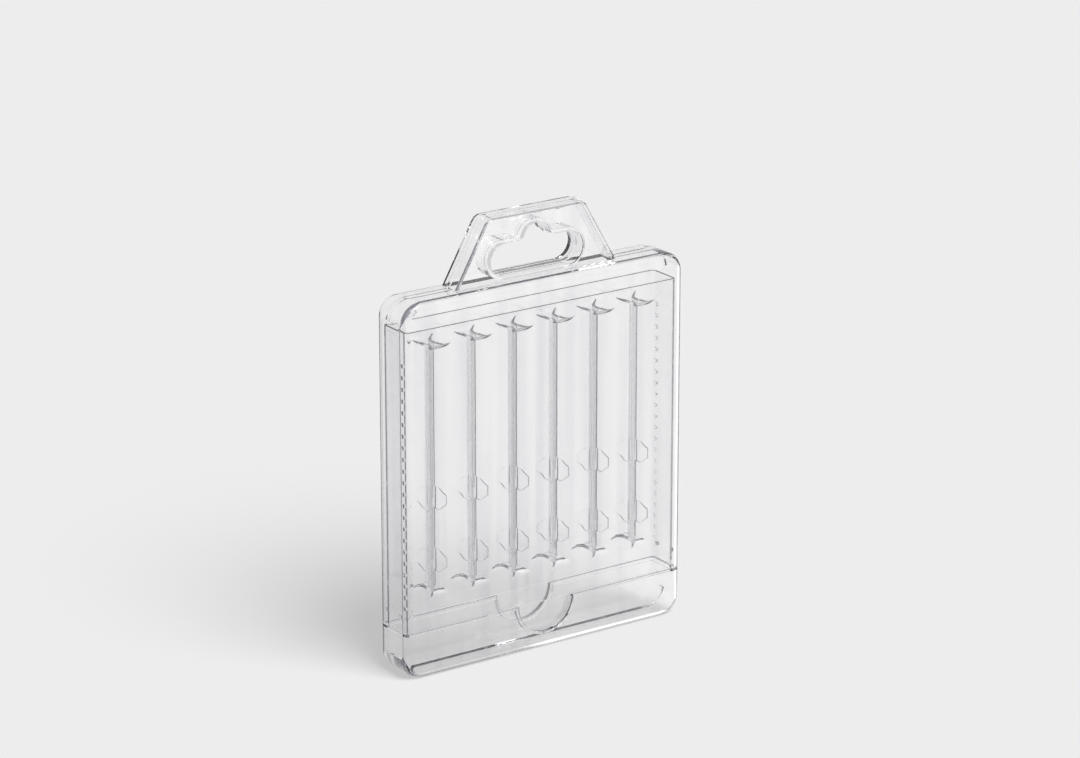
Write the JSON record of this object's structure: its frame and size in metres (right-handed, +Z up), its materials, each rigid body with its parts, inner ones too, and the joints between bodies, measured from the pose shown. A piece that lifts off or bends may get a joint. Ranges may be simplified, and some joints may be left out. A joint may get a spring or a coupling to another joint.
{
  "type": "clear plastic hang box",
  "caption": "Flat clear two-piece hang box: a sleeve cover with a euro-slot hanger slides over a tray of round cells for slim tools and rests on its base.",
  "frame": {"origin": "on the floor under the middle of the base", "axes": "+Z up through the hanger, X across the width, -Y towards the front face"},
  "size_m": [0.105, 0.015, 0.1425],
  "materials": {
    "tray_plastic": "clear, glossy",
    "cover_plastic": "clear, glossy"
  },
  "bodies": {
    "tray": {"tray": "tray_plastic"},
    "cover": {"cover": "cover_plastic"}
  },
  "joints": [
    {"name": "cover_slide", "type": "slide", "parent": "tray", "child": "cover", "axis": [0, 0, 1], "range_m": [0, 0.1]}
  ]
}
